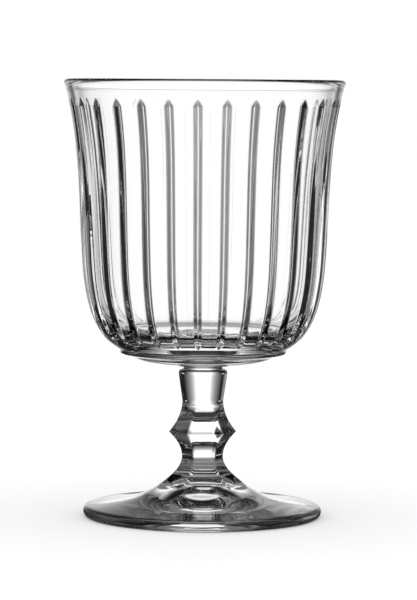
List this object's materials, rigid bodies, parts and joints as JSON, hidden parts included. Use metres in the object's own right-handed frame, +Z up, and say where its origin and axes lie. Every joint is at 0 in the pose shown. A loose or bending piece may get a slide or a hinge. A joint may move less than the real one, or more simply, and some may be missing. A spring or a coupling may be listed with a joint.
{
  "type": "drinking glass",
  "caption": "Footed drinking glass of clear pressed glass with an upright-grooved flared bowl, a six-sided knopped stem and a domed foot.",
  "frame": {"origin": "on the axis of the glass, at the level of the flat ring that the foot rests on", "axes": "+Z up along the axis of the glass; a flat of the stem's knop faces nearly towards -Y, turned 5.5 degrees about +Z"},
  "size_m": [0.09, 0.09, 0.14],
  "materials": {
    "foot_glass": "clear, fire-polished",
    "stem_glass": "clear, fire-polished",
    "wafer_glass": "clear, fire-polished",
    "bowl_glass": "clear, fire-polished"
  },
  "bodies": {
    "root": {"foot": "foot_glass", "stem": "stem_glass", "joining_wafer": "wafer_glass", "bowl": "bowl_glass"}
  },
  "joints": []
}
